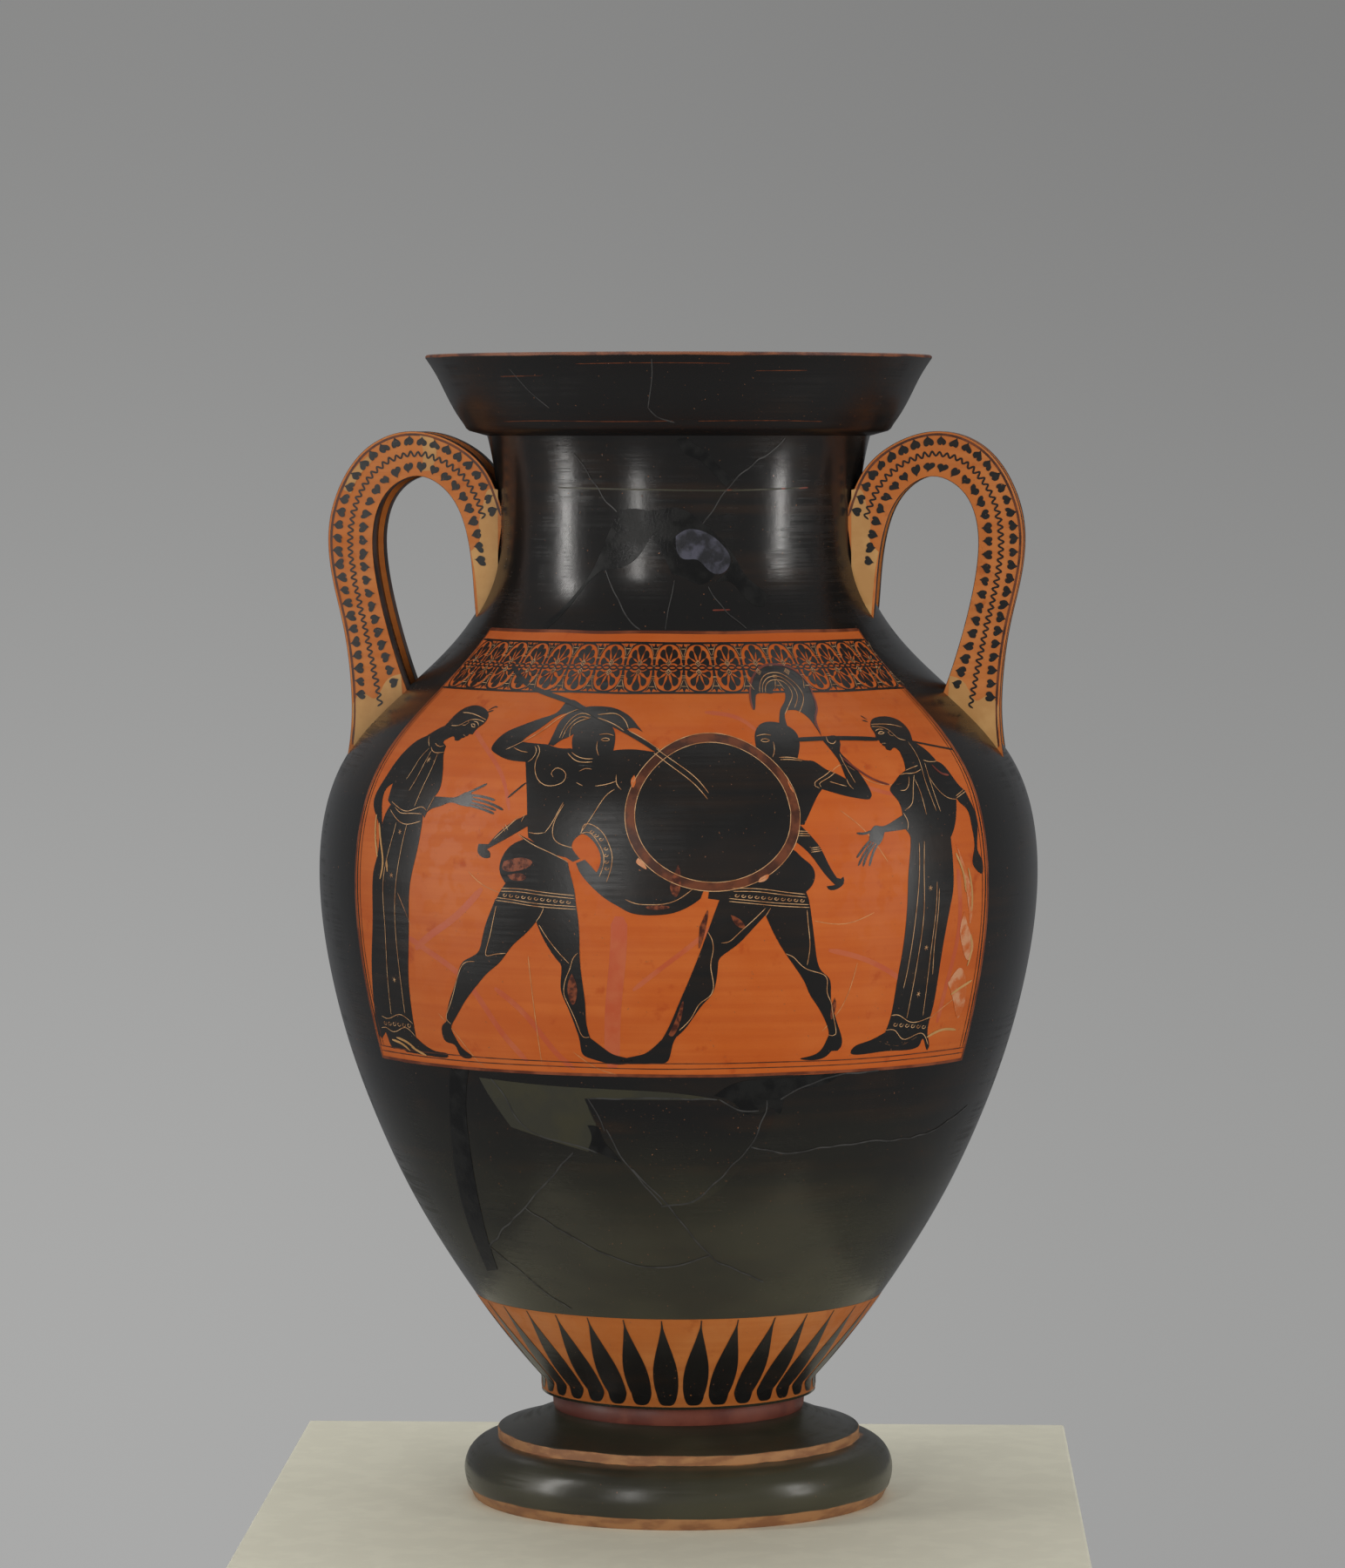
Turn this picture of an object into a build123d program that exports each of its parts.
"""Black-figure belly amphora with flanged handles, in the pieces a potter makes and lutes together.

Millimetres, +Z up, origin at the centre of the circle that the foot stands on. The handles lie along X
and the painted front faces -Y. The wall is thrown in three sections and the mouth, foot and fillet are
thrown apart. Each handle is a strap with a flange luted along each side. The pot has been broken and
mended: two sherds whose joins close are pieces of their own, and two plaster fills make good the losses.
"""

import os

from build123d import *

# ---------------------------------------------------------------- driving dimensions
HEIGHT = 600.0  # foot to lip
BELLY_JOIN_Z = 300.0  # where the lower bowl meets the upper section
NECK_JOIN_Z = 470.0  # where the upper section meets the neck
MOUTH_JOIN_Z = 558.0  # where the mouth is luted on

WALL_AT_FOOT = 10.0  # wall thickness low down, where the pot carries its own weight
WALL_AT_NECK = 6.5  # wall thickness at the top of the neck
STATIONS = 16  # places where one curve is set off sideways from another
FLOOR_Z = 59.0  # inside floor of the pot
FLOOR_FLAT = 30.0  # radius of the floor's flat middle

STEM_RADIUS = 60.0  # the plug under the pot, inside the fillet
STEM_Z = 46.4  # underside of the pot, where the foot is luted on
FILLET_RADIUS = 65.5
FILLET_TOP_Z = 56.0
FILLET_BULGE = 0.8

FOOT_REST_OUTER = 108.0  # the flat ring that the foot stands on
FOOT_REST_INNER = 96.0
FOOT_HOLLOW_TOP = 42.0  # radius of the hollow where it meets the pot's floor

LIP_OUTER = 132.8
LIP_INNER = 121.5

HANDLE_WIDTH = 58.0  # front face to back face
FLANGE_THICKNESS = 13.0
STRAP_RECESS = 3.0  # the strap lies this far below the flanges' edges, inside and out

# ---------------------------------------------------------------- profiles, as (radius, height)
OUTER_WALL = [
    (65.0, FILLET_TOP_Z),
    (93.5, 89.4),
    (119.6, 126.5),
    (141.4, 163.5),
    (158.6, 200.5),
    (172.2, 237.4),
    (181.9, 274.3),
    (187.6, 311.0),
    (187.6, 347.8),
    (177.6, 384.5),
    (159.5, 409.5),
    (126.5, 440.8),
    (107.2, 464.0),
    (98.6, 482.0),
    (94.8, 512.6),
    (95.6, 533.0),
    (100.2, MOUTH_JOIN_Z),
]
FOOT_TORUS = [(111.5, 6.3), (113.1, 14.6), (110.6, 23.2), (104.5, 28.7), (96.8, 30.6)]
FOOT_STEP = [(95.3, 30.9), (95.6, 36.1)]
FOOT_SLOPE = [(95.6, 36.1), (83.5, 39.3), (66.0, STEM_Z)]
FOOT_HOLLOW = [(FOOT_HOLLOW_TOP, STEM_Z), (46.0, 38.0), (66.0, 28.0), (87.0, 18.0), (FOOT_REST_INNER, 0.0)]
MOUTH_FLARE = [(112.4, 564.0), (116.2, 569.5), (121.2, 578.6), (126.4, 589.0), (131.6, 597.4)]
MOUTH_INSIDE = [(LIP_INNER, HEIGHT), (114.0, 585.0), (106.0, 571.5), (93.7, MOUTH_JOIN_Z)]

# ---------------------------------------------------------------- handle outline, as (x, z)
HANDLE_OUTER = [
    (80.0, 500.0),
    (97.0, 538.0),
    (112.0, 552.8),
    (137.5, 560.4),
    (161.5, 551.0),
    (176.0, 529.5),
    (181.0, 507.0),
    (178.6, 482.0),
    (173.0, 457.0),
    (169.3, 426.0),
    (170.0, 400.0),
    (178.0, 360.0),
]
HANDLE_INNER = [
    (118.0, 380.0),
    (137.5, 420.0),
    (147.0, 447.0),
    (154.0, 474.0),
    (157.6, 499.0),
    (156.0, 516.5),
    (148.6, 530.3),
    (133.5, 537.0),
    (118.3, 528.5),
    (109.6, 511.5),
    (105.6, 488.0),
    (103.6, 463.0),
    (100.0, 440.0),
]

# ---------------------------------------------------------------- mends in the front wall, as (x, z)
NECK_MENDS = {
    "neck_sherd": [(-30, 489), (-18, 501), (-6, 506), (0, 497), (4, 488), (6, 484), (4, NECK_JOIN_Z),
                   (-16, NECK_JOIN_Z), (-26, 484)],
    "neck_plaster_fill": [(-6, 506), (-1, 513), (8, 516), (18, 514), (27, 507), (33, 498), (34, 492),
                          (29, 490), (21, 483), (10, 486), (4, 488), (0, 497)],
}
LOWER_BODY_MENDS = {
    "lower_body_sherd": [(-34, 228), (34, 228), (53, 220), (62, 227), (59, 215), (51, 201), (26, 176),
                         (4, 172), (-12, 189), (-27, 211)],
    "lower_body_plaster_fill": [(-89, 236), (-51, 234), (-15, 233), (12, 231.5), (34, 228), (-34, 228),
                                (-27, 211), (-33, 200), (-48, 204), (-73, 211), (-84, 227)],
}
MEND_REACH = 300.0  # long enough to pass through the front wall, and short of the back one

os.makedirs("parts", exist_ok=True)


def revolved(outline):
    """A solid of revolution about Z from a closed outline drawn in the XZ plane."""
    return revolve(make_face(Plane.XZ * outline), axis=Axis.Z)


def set_off(curve, distance_at):
    """Points beside a curve, each pushed to its left by the distance wanted at that share of its length."""
    points = []
    for station in range(STATIONS + 1):
        share = station / STATIONS
        along = curve % share
        points.append(curve @ share + Vector(-along.Y, along.X) * distance_at(share))
    return points


def wall_curves():
    """The outer face of the wall, and the inner face set off from it by the thinning wall."""
    outer = Spline(*OUTER_WALL)
    inner_points = set_off(outer, lambda share: WALL_AT_FOOT + (WALL_AT_NECK - WALL_AT_FOOT) * share)
    # the wall ends square at the neck's top, so the mouth seats flat on it
    inner_points[-1] = Vector(OUTER_WALL[-1][0] - WALL_AT_NECK, MOUTH_JOIN_Z)
    floor = Line((0, FLOOR_Z), (FLOOR_FLAT, FLOOR_Z))
    return outer, floor + Spline((FLOOR_FLAT, FLOOR_Z), *inner_points[1:])


def solid_pot(outer):
    """The pot as one filled solid out to its outer face: it trims the handles."""
    underside = Polyline((0, STEM_Z), (STEM_RADIUS, STEM_Z), (STEM_RADIUS, FILLET_TOP_Z), OUTER_WALL[0])
    return revolved(underside + outer + Polyline(OUTER_WALL[-1], (0, MOUTH_JOIN_Z), (0, STEM_Z)))


def pot_hollow(inner):
    """The room inside the wall, open at the neck's top."""
    return revolved(inner + Polyline(inner @ 1, (0, MOUTH_JOIN_Z), (0, FLOOR_Z)))


def slab(low, high):
    """Everything between two heights."""
    return Pos(0, 0, low) * Cylinder(2 * LIP_OUTER, high - low, align=(Align.CENTER, Align.CENTER, Align.MIN))


def through_front_wall(outline):
    """A straight-sided prism that cuts a mend, and the hole it sits in, through the front wall only."""
    face = make_face(Plane.XZ * Polyline(*outline, close=True))
    return extrude(face, amount=MEND_REACH, dir=(0, -1, 0))


def mended(name, section, mends):
    """A section of wall with its mends cut out of it, and each mend as its own solid."""
    pieces = {name: section}
    for mend, outline in mends.items():
        cutter = through_front_wall(outline)
        pieces[mend] = section & cutter
        pieces[name] -= cutter
    return pieces


def make_fillet():
    """The low moulding, slightly rounded, that hides the join between the pot and its foot."""
    bottom, top = (FILLET_RADIUS, STEM_Z), (FILLET_RADIUS, FILLET_TOP_Z)
    bulge = (FILLET_RADIUS + FILLET_BULGE, (STEM_Z + FILLET_TOP_Z) / 2)
    inside = Polyline(top, (STEM_RADIUS, FILLET_TOP_Z), (STEM_RADIUS, STEM_Z), bottom)
    return revolved(inside + ThreePointArc(bottom, bulge, top))


def make_foot():
    """The foot in two degrees: a torus with a reserved step and a gentle slope above it, hollow below."""
    return revolved(
        Polyline((FOOT_REST_INNER, 0), (FOOT_REST_OUTER, 0), FOOT_TORUS[0])
        + Spline(*FOOT_TORUS)
        + Polyline(FOOT_TORUS[-1], *FOOT_STEP)
        + Spline(*FOOT_SLOPE)
        + Line(FOOT_SLOPE[-1], FOOT_HOLLOW[0])
        + Spline(*FOOT_HOLLOW)
    )


def make_mouth():
    """The flaring mouth, which overhangs the neck with a small rounded corner."""
    return revolved(
        Polyline(MOUTH_INSIDE[-1], OUTER_WALL[-1], (110.0, 561.2), MOUTH_FLARE[0])
        + Spline(*MOUTH_FLARE)
        + Polyline(MOUTH_FLARE[-1], (LIP_OUTER, 598.4), (132.3, HEIGHT), (LIP_INNER, HEIGHT))
        + Spline(*MOUTH_INSIDE)
    )


def handle_outline(inset):
    """The horseshoe outline of the right handle, drawn in from both edges. Its ends are buried in the pot."""
    outer, inner = Spline(*HANDLE_OUTER), Spline(*HANDLE_INNER)
    if inset:
        outer = Spline(*set_off(outer, lambda share: -inset))
        inner = Spline(*set_off(inner, lambda share: -inset))
    ends = Line(outer @ 1, inner @ 0) + Line(inner @ 1, outer @ 0)
    return make_face(Plane.XZ * (outer + inner + ends))


def handle_layer(outline, front_y, thickness, pot):
    """One layer of the handle, from front_y backwards, trimmed to the pot's outer face."""
    return Pos(0, front_y, 0) * extrude(outline, amount=thickness, dir=(0, 1, 0)) - pot


def make_handle(pot):
    """The right handle's strap and its two flanges."""
    flange_face, strap_face = handle_outline(0), handle_outline(STRAP_RECESS)
    half = HANDLE_WIDTH / 2
    return {
        "front_flange": handle_layer(flange_face, -half, FLANGE_THICKNESS, pot),
        "strap": handle_layer(strap_face, -half + FLANGE_THICKNESS, HANDLE_WIDTH - 2 * FLANGE_THICKNESS, pot),
        "back_flange": handle_layer(flange_face, half - FLANGE_THICKNESS, FLANGE_THICKNESS, pot),
    }


outer_face, inner_face = wall_curves()
pot = solid_pot(outer_face)
wall = pot - pot_hollow(inner_face)
nodes = {
    "foot": make_foot(),
    "foot_fillet": make_fillet(),
    "upper_body": wall & slab(BELLY_JOIN_Z, NECK_JOIN_Z),
    "mouth": make_mouth(),
}
nodes.update(mended("lower_body", wall & slab(STEM_Z, BELLY_JOIN_Z), LOWER_BODY_MENDS))
nodes.update(mended("neck", wall & slab(NECK_JOIN_Z, MOUTH_JOIN_Z), NECK_MENDS))
for layer, shape in make_handle(pot).items():
    nodes["right_handle_" + layer] = shape
    nodes["left_handle_" + layer] = mirror(shape, about=Plane.YZ)

for name, shape in nodes.items():
    export_step(shape, f"parts/{name}.step")
    print(name, "volume", round(shape.volume), "mm3")
